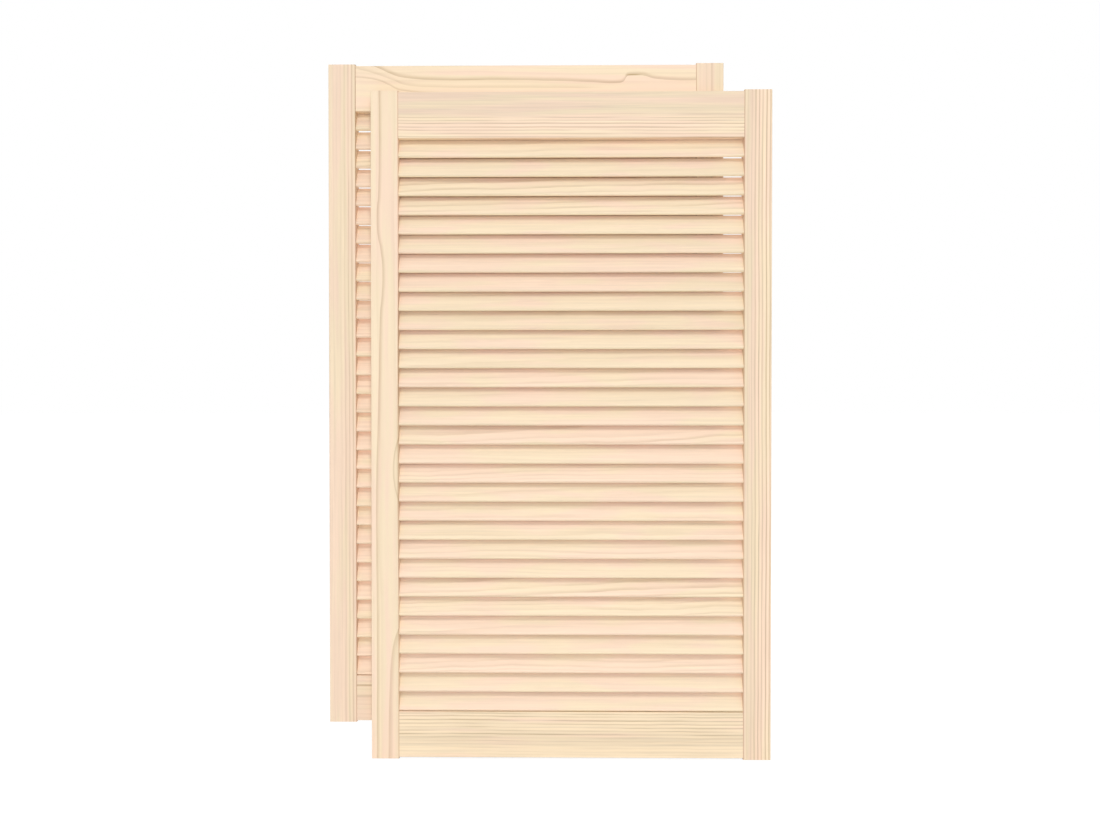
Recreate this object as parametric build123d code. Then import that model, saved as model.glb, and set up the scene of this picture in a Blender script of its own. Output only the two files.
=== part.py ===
from build123d import *
import math
import os

# A pair of louvred cabinet doors in bare pine: two alike, upright, one close behind the other.
# Millimetres, +Z up, fronts towards -Y, +X to the right as seen from the front.
# The origin is under the middle of the pair, level with the foot of the front door.

# How the two doors stand to each other. A stile of each rests against the rails of the other.
back_door_left = 68.0         # the back door stands this far to the left of the front one
back_door_up = 47.0           # and this far higher

# One door
door_height = 993.0
door_width = 594.0
door_thickness = 21.0
stile_width = 41.0
stile_arris = 1.0             # rounding of a stile's long edges
rail_height = 68.0
rail_arris = 0.8              # rounding of a rail's long edges
rail_inset = 2.0              # the stiles run this far past the rails at head and foot
rail_setback = 0.5            # a rail's faces lie this far behind the stiles' faces

# Louvre slats, front edge low and back edge high, seated in slanted stopped mortises
slat_count = 30
slat_thickness = 6.0
slat_edge_crown = 1.3         # how far the rounded edges bulge
slat_inset = 1.2              # from the stiles' faces to the slats' edges
slat_overlap = 1.0            # how much of the slat below each slat hides, seen level from the front
slat_foot_gap = 0.4           # between the lowest slat and the bottom rail
slat_tongue = 8.0             # length of a slat held inside each stile
mortise_side_gap = 0.1
mortise_end_gap = 0.5
slats_per_back_node = 2

# Rebate in the back of the top rail's lower edge, which clears the head of the highest slat
rebate_gap = 0.5

# Stub tenons on the rails' ends, which hold the frame together
tenon_length = 25.0
tenon_thickness = 8.0
tenon_shoulder = 10.0         # from a rail's upper and lower edge to its tenon
tenon_side_gap = 0.05
tenon_end_gap = 0.5

# Worked out from the sizes above
rail_length = door_width - 2 * stile_width
rail_thickness = door_thickness - 2 * rail_setback
door_step = door_thickness - rail_setback                   # from the front door back to the other
opening_foot = rail_inset + rail_height
opening_head = door_height - opening_foot
slat_pitch = (opening_head - opening_foot) / slat_count
slat_rise = slat_pitch + slat_overlap                       # height of one slat from edge to edge
slat_depth = door_thickness - 2 * slat_inset                # depth of one slat from edge to edge
slat_length = rail_length + 2 * slat_tongue
edge_radius = (slat_edge_crown**2 + (slat_thickness / 2) ** 2) / (2 * slat_edge_crown)
mortise_bevel = (                                           # clears a slat's crowned edge by the side gap
    slat_thickness / 2 + 2 * mortise_side_gap + edge_radius
    - math.sqrt(2) * (edge_radius + mortise_side_gap)
)
lowest_slat = opening_foot + slat_foot_gap + slat_rise / 2  # height of its middle


def slat_width_and_lean():
    # The width and the lean from upright at which a slat has its rise and its depth.
    # Each depends on the other, and repeating the two lines settles both.
    lean = math.pi / 6
    for _ in range(30):
        width = (slat_rise - 2 * edge_radius) / math.cos(lean) + 2 * edge_radius
        flat = width - 2 * slat_edge_crown
        lean = math.asin((slat_depth - slat_thickness * math.cos(lean)) / flat)
    return width, lean


slat_width, slat_lean = slat_width_and_lean()
slat_turn = 90 - math.degrees(slat_lean)                    # from level, towards the back


def slat_section():
    # Two flat faces joined by crowned edges.
    half_flat = slat_width / 2 - slat_edge_crown
    half_thick = slat_thickness / 2
    upper = Line((half_flat, half_thick), (-half_flat, half_thick))
    near = ThreePointArc((-half_flat, half_thick), (-slat_width / 2, 0), (-half_flat, -half_thick))
    lower = Line((-half_flat, -half_thick), (half_flat, -half_thick))
    far = ThreePointArc((half_flat, -half_thick), (slat_width / 2, 0), (half_flat, half_thick))
    return Rot(0, 0, slat_turn) * make_face([upper, near, lower, far])


def mortise_section():
    # A slot with bevelled ends, which lie close round a slat's crowned edges.
    width = slat_width + 2 * mortise_side_gap
    height = slat_thickness + 2 * mortise_side_gap
    slot = Rectangle(width, height)
    return Rot(0, 0, slat_turn) * chamfer(slot.vertices(), mortise_bevel)


def slat_height(number):
    # Height of the middle of a slat, counted from the top.
    return lowest_slat + (slat_count - number) * slat_pitch


def slat(number):
    blank = extrude(Plane.YZ * slat_section(), slat_length / 2, both=True)
    return Pos(0, 0, slat_height(number)) * blank


def tenon_pair(middle, side_gap=0.0, end_gap=0.0):
    # One bar right through a rail and out at both ends as its tenons.
    length = rail_length + 2 * (tenon_length + end_gap)
    thickness = tenon_thickness + 2 * side_gap
    height = rail_height - 2 * (tenon_shoulder - side_gap)
    return Pos(0, 0, middle) * Box(length, thickness, height)


bottom_rail_middle = opening_foot - rail_height / 2
top_rail_middle = opening_head + rail_height / 2


def stile(side):
    # The upright on one side: -1 on the left, 1 on the right.
    middle = side * (rail_length + stile_width) / 2
    blank = Pos(middle, 0, door_height / 2) * Box(stile_width, door_thickness, door_height)
    blank = fillet(blank.edges().filter_by(Axis.Z), stile_arris)
    mouths = Sketch() + [
        Pos(0, slat_height(number)) * mortise_section()
        for number in range(1, slat_count + 1)
    ]
    inner_face = Plane(origin=(side * rail_length / 2, 0, 0), x_dir=(0, 1, 0), z_dir=(1, 0, 0))
    slat_mortises = extrude(inner_face * mouths, side * (slat_tongue + mortise_end_gap))
    tenon_mortises = [
        tenon_pair(rail_middle, tenon_side_gap, tenon_end_gap)
        for rail_middle in (bottom_rail_middle, top_rail_middle)
    ]
    return blank - slat_mortises - tenon_mortises


def rail(middle):
    blank = Pos(0, 0, middle) * Box(rail_length, rail_thickness, rail_height)
    return fillet(blank.edges().filter_by(Axis.X), rail_arris) + tenon_pair(middle)


def head_rebate():
    # The strip taken off the back of the top rail, round the head of the highest slat.
    rise = slat_height(1) + slat_rise / 2 - opening_head
    head_middle = (slat_width / 2 - edge_radius) * math.sin(slat_lean)
    half_head = math.sqrt(edge_radius**2 - (edge_radius - rise) ** 2)
    front = head_middle - half_head - rebate_gap
    depth = door_thickness / 2 - front
    height = 2 * (rise + rebate_gap)
    return Pos(0, front + depth / 2, opening_head) * Box(rail_length, depth, height)


def frame_pieces():
    # The frame of one door, with the middle of its foot on the origin.
    return {
        "left_stile": [stile(-1)],
        "right_stile": [stile(1)],
        "top_rail": [rail(top_rail_middle) - head_rebate()],
        "bottom_rail": [rail(bottom_rail_middle)],
    }


def slat_pieces(slats_per_node):
    # The slats from the top down, in named groups of one or more.
    pieces = {}
    for first in range(1, slat_count + 1, slats_per_node):
        numbers = range(first, min(first + slats_per_node, slat_count + 1))
        word = "slat" if slats_per_node == 1 else "slats"
        name = "_".join([word] + [f"{number:02d}" for number in numbers])
        pieces[name] = [slat(number) for number in numbers]
    return pieces


def save(door_name, pieces, place):
    for name, solids in pieces.items():
        placed = [place * solid for solid in solids]
        shape = placed[0] if len(placed) == 1 else Compound(children=placed)
        export_step(shape, f"parts/{door_name}_{name}.step")


os.makedirs("parts", exist_ok=True)
frame = frame_pieces()
front_place = Pos(back_door_left / 2, -door_step / 2, 0)
back_place = Pos(-back_door_left / 2, door_step / 2, back_door_up)
save("front", {**frame, **slat_pieces(1)}, front_place)
save("back", {**frame, **slat_pieces(slats_per_back_node)}, back_place)
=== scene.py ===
import bpy
import math
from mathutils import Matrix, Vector


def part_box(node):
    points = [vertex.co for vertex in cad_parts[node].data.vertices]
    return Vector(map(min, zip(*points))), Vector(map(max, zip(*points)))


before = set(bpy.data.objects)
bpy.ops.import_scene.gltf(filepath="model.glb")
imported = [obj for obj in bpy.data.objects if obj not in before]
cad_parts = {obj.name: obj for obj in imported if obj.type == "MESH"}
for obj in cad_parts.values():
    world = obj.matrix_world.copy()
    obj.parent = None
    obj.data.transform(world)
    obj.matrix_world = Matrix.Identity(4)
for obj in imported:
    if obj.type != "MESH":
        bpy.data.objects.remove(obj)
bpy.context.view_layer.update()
print("frame loaded, nodes:", len(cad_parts))


class Wire:                                          # a socket that can be added, multiplied and so on
    def __init__(self, tree, socket=None):
        self.tree = tree
        self.socket = socket

    def node(self, kind, settings=None, inputs=None, out=0):
        made = self.tree.nodes.new(kind)
        for name, value in (settings or {}).items():
            if name == "points":                     # of a curve
                curve = made.mapping.curves[0]
                while len(curve.points) < len(value):
                    curve.points.new(0.5, 0.5)
                for point, place in zip(curve.points, sorted(value)):
                    point.location = place
                made.mapping.update()
            else:
                setattr(made, name, value)
        for name, value in (inputs or {}).items():
            if isinstance(value, Wire):
                self.tree.links.new(value.socket, made.inputs[name])
            else:
                made.inputs[name].default_value = value
        return Wire(self.tree, made.outputs[out] if len(made.outputs) else None)

    def isVector(self):
        return self.socket.type in ("VECTOR", "RGBA")

    def maths(self, operation, first, second=0.0):
        kind = "ShaderNodeVectorMath" if self.isVector() else "ShaderNodeMath"
        return self.node(kind, {"operation": operation}, {0: first, 1: second})

    def __add__(self, other):
        return self.maths("ADD", self, other)

    def __radd__(self, other):
        return self.maths("ADD", other, self)

    def __sub__(self, other):
        return self.maths("SUBTRACT", self, other)

    def __rsub__(self, other):
        return self.maths("SUBTRACT", other, self)

    def __mul__(self, other):
        if self.isVector() and not (isinstance(other, Wire) and other.isVector()):
            return self.node("ShaderNodeVectorMath", {"operation": "SCALE"}, {0: self, "Scale": other})
        return self.maths("MULTIPLY", self, other)

    __rmul__ = __mul__

    def __truediv__(self, other):
        return self.maths("DIVIDE", self, other)

    def __rtruediv__(self, other):
        return self.maths("DIVIDE", other, self)

    def floor(self):
        return self.maths("FLOOR", self)

    def fract(self):
        return self.maths("FRACT", self)

    def absolute(self):
        return self.maths("ABSOLUTE", self)

    def root(self):
        return self.maths("SQRT", self)

    def step(self, low, high):                       # smooth climb from 0 to 1
        return self.node("ShaderNodeMapRange", {"interpolation_type": "SMOOTHSTEP"},
                         {"Value": self, "From Min": low, "From Max": high})

    def parts(self):                                 # x, y and z
        return [self.node("ShaderNodeSeparateXYZ", None, {0: self}, axis) for axis in range(3)]


white = (1.0, 1.0, 1.0, 1.0)


def grey(level):
    return (level, level, level, 1.0)


def srgb(red, green, blue):                          # a colour as the eye reads it, 0 to 255, for a socket
    def linear(level):
        level = level / 255
        return level / 12.92 if level <= 0.04045 else ((level + 0.055) / 1.055) ** 2.4
    return (linear(red), linear(green), linear(blue), 1.0)


def noise(start, x, y, z, detail=1.0, roughness=0.5, scale=1.0):
    place = start.node("ShaderNodeCombineXYZ", None, {0: x, 1: y, 2: z})
    return start.node("ShaderNodeTexNoise", None,
                      {"Vector": place, "Scale": scale, "Detail": detail, "Roughness": roughness})


def mixed(start, factor, first, second):             # between two colours
    return start.node("ShaderNodeMix", {"data_type": "RGBA", "clamp_factor": False},
                      {0: factor, 6: first, 7: second}, 2)


def tinted(start, share, tint, plain=white):         # a tint to multiply a colour by, where share is 1
    return mixed(start, share, plain, tint + (1.0,))


def newMaterial(name):
    material = bpy.data.materials.new(name)
    material.use_nodes = True
    material.node_tree.nodes.clear()
    return material, Wire(material.node_tree)


def dress(node, material):
    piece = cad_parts[node]
    piece.data.materials.clear()
    piece.data.materials.append(material)


# Below, along runs with a board's grain, across over its face and deep into it, in metres from its
# middle. Scales are how many of a pattern's spots lie in a metre.

pine = {
    "wood": srgb(248, 225, 198),         # the pale wood between the rings' dark lines
    "pink": srgb(250, 220, 198),         # and the two tones that it wanders between
    "straw": srgb(246, 228, 194),
    "evenness": 0.45,                    # how much of the pale wood's own colour those two keep
    "line": (0.66, 0.60, 0.51),          # how much light a dark line gives back, against the pale wood
    "endGrain": (0.90, 0.84, 0.74),      # the same for sawn ends
    "jointShade": (0.66, 0.50, 0.42),         # and for the painted shade in the fine gap between two pieces
    "endFacing": (0.8, 0.95),            # how squarely a face looks along the grain to be a sawn end
    "roughness": 0.62,
    "lineRoughness": -0.08,              # added in a dark line
    "streakRoughness": 0.12,
    "shine": 0.3,
    "relief": 0.25,
    "reliefDepth": 0.0002,               # metres
    "reliefShare": 0.5,                  # of the streaks, and of the dark lines
}


def woodMaterial(start, board, lines, streaks, tone, tints):
    # Colour, roughness and fine relief of a board, from its lines, streaks and tints, some painted light.
    base = mixed(start, tone, pine["pink"], pine["straw"])
    base = mixed(start, pine["evenness"], base, pine["wood"])
    colour = base * tinted(start, lines, pine["line"])
    colour = colour * (streaks * board["streak"] + board["level"])
    for tint in tints:
        colour = colour * tint
    height = streaks * pine["reliefShare"] + lines * pine["reliefShare"]
    normal = start.node("ShaderNodeBump", None, {
        "Strength": pine["relief"], "Distance": pine["reliefDepth"], "Height": height,
    })
    rough = lines * pine["lineRoughness"] + streaks * pine["streakRoughness"] + pine["roughness"]
    shader = start.node("ShaderNodeBsdfPrincipled", None, {
        "Base Color": colour, "Roughness": rough, "Normal": normal,
        "Specular IOR Level": pine["shine"],
    })
    start.node("ShaderNodeOutputMaterial", None, {"Surface": shader})


rings = {
    "driftScale": 4.0,                   # how fast a trunk's middle wanders along the board, and trembles
    "waverScale": 16.0,
    "rippleAlong": 7.0,
    "rippleAcross": 60.0,
    "growthScale": 110.0,
    "uneven": 0.9,                       # how much the rings differ in width
    "lineDark": 0.92,                    # how far through a ring its line is darkest, and where it ends
    "lineEnds": (0.95, 1.0),
    "luck": 0.55,                        # how much the lines differ in strength
    "breakAlong": 9.0,
    "breakStep": 3.7,                    # from one ring's breaks to the next one's
    "breaks": (0.30, 0.62),
}


def ringLines(start, across, deep, along, board):
    # The dark lines that a trunk's rings leave on a board cut out of it: 0 in pale wood, 1 in a line.
    seed = board["seed"]
    drift = noise(start, along, seed, 0.0, scale=rings["driftScale"]) - 0.5
    waver = noise(start, along, 0.0, seed, 2.0, scale=rings["waverScale"]) - 0.5
    wander = drift * board["drift"] + waver * board["waver"]
    offAcross = across - (wander + along * board["lean"] + board["pithAcross"])
    offDeep = deep - (along * board["dip"] + board["pithDeep"])
    radius = (offAcross * offAcross + offDeep * offDeep).root()
    ripple = noise(start, along * rings["rippleAlong"], across * rings["rippleAcross"],
                   deep * rings["rippleAcross"] + seed, 2.0) - 0.5
    radius = radius + ripple * board["ripple"]
    growth = noise(start, radius, seed, 0.0, 0.0, scale=rings["growthScale"]) - 0.5
    count = radius / board["spacing"] + growth * rings["uneven"]
    part = count.fract()
    line = part.step(board["lineStart"], rings["lineDark"]) * (1.0 - part.step(*rings["lineEnds"]))
    ring = count.floor() + seed
    luck = start.node("ShaderNodeTexWhiteNoise", {"noise_dimensions": "1D"}, {"W": ring})
    whole = noise(start, along * rings["breakAlong"], ring * rings["breakStep"], 0.0).step(*rings["breaks"])
    strength = luck * rings["luck"] + (1.0 - rings["luck"])
    return line * strength * (whole * board["broken"] + (1.0 - board["broken"]))


plainStroke = {
    "sharp": 0.0006,                     # metres, the width of its sharp side
    "softSide": 1.0,                     # 1 to the right or above, -1 to the left or below
    "pale": 0.0,                         # strength and width of a pale band along the sharp side
    "paleWidth": 0.004,
    "paleEdge": 0.001,
    "fade": 0.03,                        # how long it takes to fade at "from" and "to"
    "waverScale": 30.0,
    "waver": 0.0009,
    "slant": 0.4,                        # how fast it moves across as it goes into the board
    "fleckAlong": 22.0,
    "fleckAcross": 300.0,
    "fleck": 0.5,                        # how much it varies in strength
}


def drawnLine(start, across, deep, along, stroke, length, width):
    # One dark line along a path over the board's face: sharp on one side, soft on the other.
    path = [(place / length + 0.5, off / width + 0.5) for place, off in stroke["path"]]
    spot = start.node("ShaderNodeFloatCurve", {"points": path}, {"Value": along / length + 0.5})
    waver = noise(start, along * stroke["waverScale"], stroke["seed"], 0.0, 2.0) - 0.5
    slant = (deep - stroke["face"]) * stroke["slant"]
    off = across - (spot - 0.5) * width + waver * stroke["waver"] + slant
    off = off * stroke["softSide"]                   # greater than nought on the soft side
    line = off.step(-stroke["sharp"], 0.0) * (1.0 - off.step(0.0, stroke["soft"]))
    for end in ("from", "to"):
        if end in stroke:
            fade = along.step(stroke[end] - stroke["fade"], stroke[end] + stroke["fade"])
            line = line * (fade if end == "from" else 1.0 - fade)
    fleck = noise(start, along * stroke["fleckAlong"], across * stroke["fleckAcross"], stroke["seed"])
    strength = fleck * stroke["fleck"] + (1.0 - stroke["fleck"] / 2)
    pale = off.step(-stroke["paleWidth"] - stroke["paleEdge"], -stroke["paleWidth"])
    pale = pale * (1.0 - off.step(-stroke["paleEdge"], 0.0))
    return line * stroke["strength"] * strength - pale * stroke["pale"]


fibres = {
    "broadAlong": 5.0,
    "broadAcross": 170.0,
    "fineAlong": 14.0,
    "fineAcross": 700.0,
    "fineRoughness": 0.6,
    "fineShare": 0.4,
}


def fibreStreaks(start, across, deep, along, seed, broadAcross):
    # Streaks along the grain, broad ones and fine ones, -0.5 to 0.5.
    broad = noise(start, along * fibres["broadAlong"], across * broadAcross, deep * broadAcross + seed, 2.0)
    fineAcross = fibres["fineAcross"]
    fine = noise(start, along * fibres["fineAlong"], across * fineAcross, deep * fineAcross + seed,
                 2.0, fibres["fineRoughness"])
    return broad * (1.0 - fibres["fineShare"]) + fine * fibres["fineShare"] - 0.5


jointShade = {                                # painted shade: the fine dark line of the gap at a stile's inner edge
    "width": 0.0015,
    "soft": 0.75,                        # how much of that width it takes to reach its full strength
    "strength": 0.7,
    "inside": 0.4,                       # how much of it is on the stile's inner face
    "frontFacing": (0.2, 0.5),           # how squarely a face looks forwards to be the front
}

tones = {
    "along": 5.0,
    "across": 75.0,
    "range": (0.35, 0.65),               # of the noise, from all pink to all straw
    "bendScale": 3.0,                    # how the levels across a board wander along it
    "bendSeed": 4.0,
    "bend": 0.01,
}

# Boards cut near the trunk's surface, with few lines on the face, and boards cut through its middle.
flatSawn = {"pithAcross": 0.004, "pithDeep": 0.045, "spacing": 0.0036, "drift": 0.010, "waver": 0.003,
            "lean": -0.004, "dip": 0.0, "ripple": 0.0008, "contrast": 0.2, "lineStart": 0.55,
            "broken": 0.3, "straw": 0.0, "level": 1.0, "streak": 0.12}
quarterSawn = {"pithAcross": 0.16, "pithDeep": 0.03, "spacing": 0.005, "drift": 0.004, "waver": 0.001,
               "lean": 0.0, "dip": 0.0, "ripple": 0.0006, "lineStart": 0.5,
               "broken": 0.3, "straw": 0.0, "level": 1.0}

# Paths and levels are measured from a board's middle, in metres: a path is given along it and then
# across it, and levels are its brightness at places across it. A zone says where across the board
# the lines are faint, where they are clear, and how clear the faint ones are.
boards = {
    "front_left_stile": {**flatSawn, "seed": 3.1, "level": 0.98, "straw": 0.03, "strokes": [
        {"strength": 0.58, "soft": 0.0058, "pale": 0.05, "paleWidth": 0.008, "path": [
            (-0.497, -0.0128), (-0.30, -0.0122), (-0.115, -0.0130), (-0.069, -0.0124), (-0.010, -0.0108),
            (0.05, -0.0092), (0.115, -0.0077), (0.165, -0.0066), (0.195, -0.0040), (0.222, -0.0028),
            (0.26, -0.0056), (0.312, -0.0112), (0.345, -0.0088), (0.497, -0.0080)]},
        {"strength": 0.50, "soft": 0.0085, "sharp": 0.0010, "path": [
            (-0.497, 0.0050), (-0.431, 0.0058), (-0.373, 0.0076), (-0.349, 0.0092), (-0.326, 0.0126),
            (-0.302, 0.0200), (-0.282, 0.0280), (-0.240, 0.0300), (0.497, 0.0300)]},
        {"strength": 0.50, "soft": 0.0034, "sharp": 0.0008, "path": [
            (-0.497, 0.0300), (-0.160, 0.0300), (-0.131, 0.0255), (-0.111, 0.0198), (-0.098, 0.0162),
            (-0.085, 0.0136), (-0.067, 0.0122), (-0.051, 0.0130), (-0.033, 0.0158), (-0.019, 0.0196),
            (-0.001, 0.0255), (0.029, 0.0300), (0.497, 0.0300)]},
    ]},
    "front_right_stile": {**quarterSawn, "seed": 7.7, "spacing": 0.0053, "contrast": 1.5, "streak": 0.38,
                          "broken": 0.15, "zone": (-0.012, -0.001, 0.25),
                          "levels": [(-0.0205, 0.92), (-0.008, 0.935), (0.002, 0.99), (0.0205, 0.99)]},
    "back_left_stile": {**quarterSawn, "seed": 12.4, "spacing": 0.0056, "contrast": 0.85, "streak": 0.34,
                        "zone": (-0.004, 0.008, 0.2),
                        "levels": [(-0.0205, 0.955), (0.0, 0.940), (0.0205, 0.925)]},
    "back_right_stile": {**quarterSawn, "seed": 15.9, "spacing": 0.009, "contrast": 0.2, "streak": 0.15,
                         "level": 0.945, "strokes": [
        {"strength": 0.4, "soft": 0.004, "path": [(-0.497, 0.001), (0.497, 0.002)]},
    ]},
    "front_top_rail": {**quarterSawn, "seed": 21.3, "spacing": 0.0047, "contrast": 1.0, "streak": 0.45,
                       "broken": 0.85, "waver": 0.0016, "lean": -0.005, "straw": -0.05,
                       "zone": (0.006, -0.004, 0.15),
                       "levels": [(-0.034, 0.980), (-0.006, 0.975), (0.004, 0.905), (0.034, 0.910)]},
    "front_bottom_rail": {**quarterSawn, "seed": 25.8, "contrast": 1.15, "streak": 0.45,
                          "broken": 0.7, "waver": 0.0022, "lean": -0.003, "straw": 0.15,
                          "zone": (-0.010, 0.002, 0.35),
                          "levels": [(-0.034, 0.98), (-0.018, 0.975), (-0.012, 0.915), (0.0, 0.915),
                                     (0.006, 0.960), (0.034, 0.960)]},
    "back_top_rail": {**flatSawn, "seed": 31.2, "pithAcross": -0.01, "pithDeep": 0.07, "strokes": [
        {"strength": 0.68, "soft": 0.0072, "path": [
            (-0.30, 0.0345), (-0.235, 0.0345), (-0.222, 0.0310), (-0.205, 0.0232), (-0.183, 0.0164),
            (-0.145, 0.0130), (-0.03, 0.0124), (0.03, 0.0112), (0.10, 0.0086), (0.139, 0.0072),
            (0.149, 0.0110), (0.153, 0.0180), (0.170, 0.0190), (0.195, 0.0135), (0.23, 0.0110),
            (0.255, 0.0108)]},
        {"strength": 0.9, "soft": 0.0028, "from": 0.152, "to": 0.170, "fade": 0.006, "path": [
            (-0.255, 0.0186), (0.255, 0.0186)]},
        {"strength": 0.34, "soft": 0.006, "to": 0.10, "path": [
            (-0.255, 0.0300), (-0.229, 0.0232), (-0.198, 0.0120), (-0.176, 0.0044), (-0.145, 0.0021),
            (0.02, 0.0006), (0.12, -0.0010), (0.255, -0.0030)]},
        {"strength": 0.48, "soft": 0.004, "path": [
            (-0.255, 0.0168), (-0.23, 0.0140), (-0.205, 0.0050), (-0.186, -0.0032), (-0.10, -0.0100),
            (0.255, -0.0140)]},
    ]},
    # its low level is painted shade, for the front door's shadow on this rail
    "back_bottom_rail": {**quarterSawn, "seed": 35.6, "spacing": 0.007, "contrast": 0.25, "streak": 0.2,
                         "level": 0.92, "strokes": [
        {"strength": 0.9, "soft": 0.0040, "softSide": -1.0, "path": [(-0.255, 0.0204), (0.255, 0.0200)]},
        {"strength": 0.5, "soft": 0.0060, "softSide": -1.0, "path": [(-0.255, 0.0040), (0.255, 0.0030)]},
    ]},
}


def boardMaterial(node, board):
    # Wood of one stile or one rail, with the grain along its length.
    material, start = newMaterial(node + "_wood")
    upright = "stile" in node
    low, high = (Vector(corner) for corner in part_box(node))
    size = high - low
    length, width = (size.z, size.x) if upright else (size.x, size.z)
    place = start.node("ShaderNodeTexCoord", None, None, "Object")
    x, y, z = (place - tuple((low + high) / 2)).parts()
    along, across, deep = (z, x, y) if upright else (x, z, y)
    facing = start.node("ShaderNodeNewGeometry", None, None, "Normal").parts()
    endShare = facing[2 if upright else 0].absolute().step(*pine["endFacing"])
    lines = ringLines(start, across, deep, along, board) * board["contrast"]
    if "zone" in board:
        faint, clear, least = board["zone"]
        lines = lines * (((across - faint) / (clear - faint)).step(0.0, 1.0) * (1.0 - least) + least)
    for stroke in board.get("strokes", []):
        stroke = {**plainStroke, "seed": board["seed"], "face": -size.y / 2, **stroke}
        lines = lines + drawnLine(start, across, deep, along, stroke, length, width) * (1.0 - endShare)
    streaks = fibreStreaks(start, across, deep, along, board["seed"], fibres["broadAcross"])
    tone = noise(start, along * tones["along"], across * tones["across"], board["seed"])
    tone = (tone + board["straw"]).step(*tones["range"])
    if "levels" in board:
        curve = [(spot / width + 0.5, level) for spot, level in board["levels"]]
        bend = noise(start, along * tones["bendScale"], board["seed"], tones["bendSeed"]) - 0.5
        spot = (across + bend * tones["bend"]) / width + 0.5
        board = {**board, "level": start.node("ShaderNodeFloatCurve", {"points": curve}, {"Value": spot})}
    tints = [tinted(start, endShare, pine["endGrain"])]
    if upright:
        inwards = 1.0 if "left" in node else -1.0    # towards the slats
        # painted shade along the stile's inner edge, where the gap to the slats and rails lies
        gapFrom = width / 2 - jointShade["width"]
        gap = (across * inwards).step(gapFrom, gapFrom + jointShade["soft"] * jointShade["width"])
        front = facing[1].absolute().step(*jointShade["frontFacing"])
        gap = gap * (front * (1.0 - jointShade["inside"]) + jointShade["inside"]) * jointShade["strength"]
        tints.append(tinted(start, gap, pine["jointShade"]))
    woodMaterial(start, board, lines, streaks, tone, tints)
    return material


for node, board in boards.items():
    dress(node, boardMaterial(node, board))
print("frames dressed")

# How the two doors stand, read from the frame: the lowest, leftmost and foremost point, and the middle
doors = {}
for name in ("front", "back"):
    low = Vector(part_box(name + "_left_stile")[0])
    high = Vector(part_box(name + "_right_stile")[1])
    doors[name] = {"low": low, "middle": (low + high) / 2}

slats = {
    "thickness": 0.006,
    "seed": {"front": 0.37, "back": 61.73},
    "seedSpread": 80.0,
    "drift": 0.016,                      # metres, as for the boards above
    "waver": 0.006,
    "ripple": 0.0012,
    "lineStart": 0.45,
    "broken": 0.5,
    "leanSpread": 0.06,                  # how much the slats differ in their cut from the trunk
    "dipSpread": 0.03,
    "pithSpread": 0.09,
    "pithDeep": (0.015, 0.05),           # the least, and how much more
    "spacing": (0.0035, 0.004),
    "contrast": (0.06, 0.75),
    "level": (0.970, 0.03),
    "streak": 0.33,
    "broadAcross": 280.0,
    "toneAlong": 9.0,
    "toneAcross": 45.0,
    "toneRange": (0.39, 0.61),
    "warmth": 0.22,                      # how much the slats differ in tone
    # painted shade: the back door's slats are made pinker, for the warm shade they lie in behind the front
    # door
    "pinker": {"front": 0.0, "back": 0.08},
    "fleck": 0.030,                      # how much paler the short flecks are, which lie in patches
    "fleckAlong": 34.0,
    "fleckAcross": 380.0,
    "fleckRange": (0.54, 0.70),
    "patchAlong": 8.0,
    "patchAcross": 60.0,
    "patchSeed": 5.0,
    "patchRange": (0.42, 0.62),
    "paintedUpperShade": 0.02,                  # painted shade: how much darker a slat is made towards its back edge, under the slat above, and where across it that begins and ends
    "upperRange": (-0.016, 0.004),       # across it that begins and ends
    "creviceLight": (1.07, 1.02, 1.06),        # painted light: a paler tint of the part that lies deep in the louvre, for light bounced between the slats
    "creviceLightRange": (0.003, 0.014),
    "edge": (1.04, 1.08, 1.09),          # painted highlight: a paler tint of the front edge, making up for the shade on its rounded crown
    "edgeRange": (-0.0158, -0.0136),
}


def slatLean():
    # How far the slats lean from upright, worked out from one slat's box and its thickness.
    low, high = (Vector(corner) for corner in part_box("front_slat_01"))
    rise, depth = high.z - low.z, high.y - low.y
    thickness = slats["thickness"]
    lean = math.radians(25)
    for _ in range(30):                              # each round brings it closer
        flat = (rise - thickness * math.sin(lean)) / math.cos(lean)
        lean = math.asin((depth - thickness * math.cos(lean)) / flat)
    return lean


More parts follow.
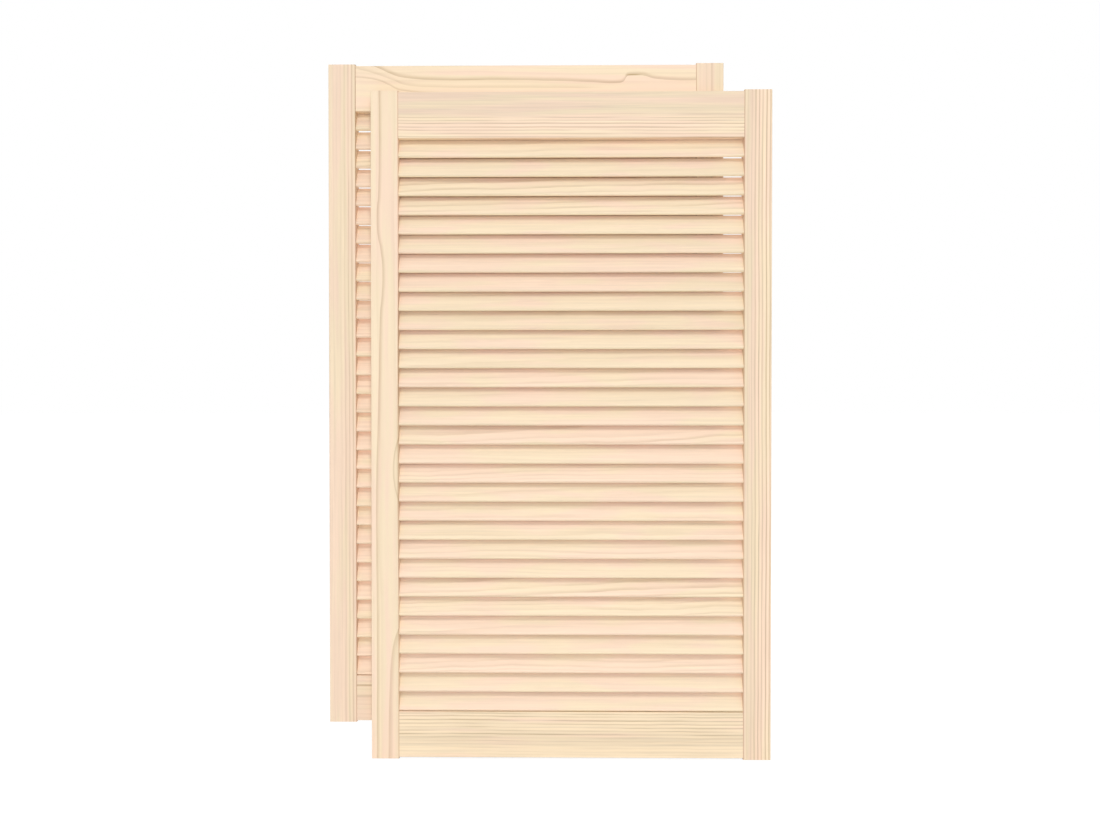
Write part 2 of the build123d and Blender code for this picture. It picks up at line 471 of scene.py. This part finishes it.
def slatMaterial(doorName):
    # One wood for all the slats of a door. Each slat is told from the next by where it lies,
    # and has its own cut of the trunk, tone and contrast.
    material, start = newMaterial(doorName + "_slat_wood")
    highest = {"front": "front_slat_01", "back": "back_slats_01_02"}[doorName]
    names = sorted(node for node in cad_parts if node.startswith("front_slat_"))
    low, high = (Vector(corner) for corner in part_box(names[0]))
    pitch = (low.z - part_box(names[-1])[0][2]) / (len(names) - 1)
    lean = slatLean()
    place = start.node("ShaderNodeTexCoord", None, None, "Object")
    middle = doors[doorName]["middle"]
    origin = (middle.x, middle.y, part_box(highest)[1][2] - (high.z - low.z) / 2)
    along, y, z = (place - origin).parts()
    stack = z * math.sin(lean) - y * math.cos(lean)          # square to the slats' faces
    step = pitch * math.sin(lean)
    number = (stack / step + 0.5).floor()
    deep = stack - number * step
    across = (z - number * pitch) * math.cos(lean) + y * math.sin(lean)
    luck = start.node("ShaderNodeTexWhiteNoise", {"noise_dimensions": "1D"},
                      {"W": number + slats["seed"][doorName]}, 1)
    first, second, third = luck.parts()
    seed = first * slats["seedSpread"]
    board = {
        "seed": seed,
        "drift": slats["drift"],
        "waver": slats["waver"],
        "ripple": slats["ripple"],
        "lineStart": slats["lineStart"],
        "broken": slats["broken"],
        "lean": (second - 0.5) * slats["leanSpread"],
        "dip": (third - 0.5) * slats["dipSpread"],
        "pithAcross": (third - 0.5) * slats["pithSpread"],
        "pithDeep": second * slats["pithDeep"][1] + slats["pithDeep"][0],
        "spacing": first * slats["spacing"][1] + slats["spacing"][0],
    }
    contrast = second * third * slats["contrast"][1] + slats["contrast"][0]
    lines = ringLines(start, across, deep, along, board) * contrast
    streaks = fibreStreaks(start, across, deep, along, seed, slats["broadAcross"])
    tone = noise(start, along * slats["toneAlong"], across * slats["toneAcross"], seed)
    # random warmth, and for the back door's slats a pinker tone as painted warm shade
    tone = tone + (first - 0.5) * slats["warmth"] - slats["pinker"][doorName]
    tone = tone.step(*slats["toneRange"])
    fleckAcross = slats["fleckAcross"]
    fleck = noise(start, along * slats["fleckAlong"], across * fleckAcross, deep * fleckAcross + seed)
    patch = noise(start, along * slats["patchAlong"], across * slats["patchAcross"],
                  seed + slats["patchSeed"])
    fleck = fleck.step(*slats["fleckRange"]) * patch.step(*slats["patchRange"]) * slats["fleck"]
    # painted shade towards each slat's back edge, under the slat above
    shade = across.step(*slats["upperRange"]) * slats["paintedUpperShade"]
    board["level"] = third * slats["level"][1] + slats["level"][0] + fleck - shade
    board["streak"] = slats["streak"]
    facing = start.node("ShaderNodeNewGeometry", None, None, "Normal").parts()
    endShare = facing[0].absolute().step(*pine["endFacing"])
    # painted light deep in the louvre, for light bounced between the slats
    tint = tinted(start, across.step(*slats["creviceLightRange"]), slats["creviceLight"])
    # painted highlight on each slat's front edge
    tint = tinted(start, 1.0 - across.step(*slats["edgeRange"]), slats["edge"], tint)
    woodMaterial(start, board, lines, streaks, tone, [tinted(start, endShare, pine["endGrain"]), tint])
    return material


slatWoods = {name: slatMaterial(name) for name in doors}
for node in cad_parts:
    if "slat" in node:
        dress(node, slatWoods[node.split("_")[0]])
print("slats dressed")

stage = {
    "worldLevel": 0.68,
    "floorSize": 40.0,                   # metres from the middle to an edge
    "floorDrop": 0.0005,                 # how far it lies under the doors' foot
    "floorWhite": 0.8,                   # what the floor gives back to the doors
    "floorShade": 0.25,                  # how much of the light and shade on the floor is seen
    "floorGlow": 0.84,
}

lamps = {                                # places in metres from the middle of the doors' foot
    "key": {"place": (0.10, -1.40, 1.80), "size": 0.40, "strength": 0.74},
    "fill": {"place": (0.0, -1.9, 0.55), "size": 1.1, "strength": 0.68},
    "rear": {"place": (-0.3, 1.9, 0.60), "size": 1.1, "strength": 0.55},
}


def makeWorld():
    # A white room. What is seen straight, in a gloss or through a piece is full white.
    world = bpy.data.worlds.new("studio")
    bpy.context.scene.world = world
    world.use_nodes = True
    world.node_tree.nodes.clear()
    start = Wire(world.node_tree)
    direct = start.node("ShaderNodeLightPath", None, None, "Is Camera Ray")
    for ray in ("Is Glossy Ray", "Is Transmission Ray"):
        direct = direct.maths("MAXIMUM", direct, start.node("ShaderNodeLightPath", None, None, ray))
    strength = direct * (1.0 - stage["worldLevel"]) + stage["worldLevel"]
    back = start.node("ShaderNodeBackground", None, {"Color": white, "Strength": strength})
    start.node("ShaderNodeOutputWorld", None, {"Surface": back})


def makeFloor():
    size = stage["floorSize"]
    mesh = bpy.data.meshes.new("floor")
    corners = [(-size, -size, 0.0), (size, -size, 0.0), (size, size, 0.0), (-size, size, 0.0)]
    mesh.from_pydata(corners, [], [(0, 1, 2, 3)])
    floor = bpy.data.objects.new("floor", mesh)
    bpy.context.scene.collection.objects.link(floor)
    floor.location.z = -stage["floorDrop"]
    material, start = newMaterial("floor_white")
    seen = start.node("ShaderNodeLightPath", None, None, "Is Camera Ray")
    plain = start.node("ShaderNodeBsdfDiffuse", None, {"Color": grey(stage["floorWhite"])})
    shade = start.node("ShaderNodeBsdfDiffuse", None, {"Color": grey(stage["floorShade"])})
    glow = start.node("ShaderNodeEmission", None, {"Color": white, "Strength": stage["floorGlow"]})
    shown = start.node("ShaderNodeAddShader", None, {0: shade, 1: glow})
    both = start.node("ShaderNodeMixShader", None, {0: seen, 1: plain, 2: shown})
    start.node("ShaderNodeOutputMaterial", None, {"Surface": both})
    mesh.materials.append(material)


def makeLamp(name):
    # A round lamp aimed at the doors. It doesn't weaken with distance, so that they are lit alike
    # from head to foot, and lights as much as a sun of its strength.
    lamp = bpy.data.lights.new(name, "AREA")
    lamp.shape = "DISK"
    lamp.size = lamps[name]["size"]
    lamp.energy = 1.0
    lamp.use_nodes = True
    lamp.node_tree.nodes.clear()
    start = Wire(lamp.node_tree)
    even = start.node("ShaderNodeLightFalloff", None,
                      {"Strength": lamps[name]["strength"] * math.pi}, "Constant")
    glow = start.node("ShaderNodeEmission", None, {"Color": white, "Strength": even})
    start.node("ShaderNodeOutputLight", None, {"Surface": glow})
    lampObject = bpy.data.objects.new(name, lamp)
    bpy.context.scene.collection.objects.link(lampObject)
    place = Vector(lamps[name]["place"])
    middle = (doors["front"]["middle"] + doors["back"]["middle"]) / 2
    lampObject.location = place
    lampObject.rotation_euler = (middle - place).to_track_quat("-Z", "Y").to_euler()


makeWorld()
makeFloor()
for name in lamps:
    makeLamp(name)
print("stage and lamps made")

view = {
    "lens": 27.58,                       # millimetres
    "sensor": 36.0,
    "distance": 1.25,                    # metres, from the front door's face
    "aside": -0.0183,                    # to the right of the front door's middle
    "height": 0.5303,                    # above its foot
    "turn": 0.58,                        # degrees to the left
    "tip": -0.60,                        # degrees up
    "nearest": 0.01,                     # metres, what is seen at all
    "farthest": 200.0,
}


def makeCamera():
    # A camera close to the doors, found from how their edges converge in the photograph.
    door = doors["front"]
    camera = bpy.data.cameras.new("camera")
    camera.sensor_fit = "HORIZONTAL"
    camera.sensor_width = view["sensor"]
    camera.lens = view["lens"]
    camera.clip_start = view["nearest"]
    camera.clip_end = view["farthest"]
    cameraObject = bpy.data.objects.new("camera", camera)
    bpy.context.scene.collection.objects.link(cameraObject)
    cameraObject.location = (door["middle"][0] + view["aside"],
                             door["low"][1] - view["distance"],
                             door["low"][2] + view["height"])
    cameraObject.rotation_euler = (math.radians(90 + view["tip"]), 0.0, math.radians(view["turn"]))
    bpy.context.scene.camera = cameraObject


makeCamera()
bpy.context.scene.view_settings.view_transform = "Standard"
print("camera placed")
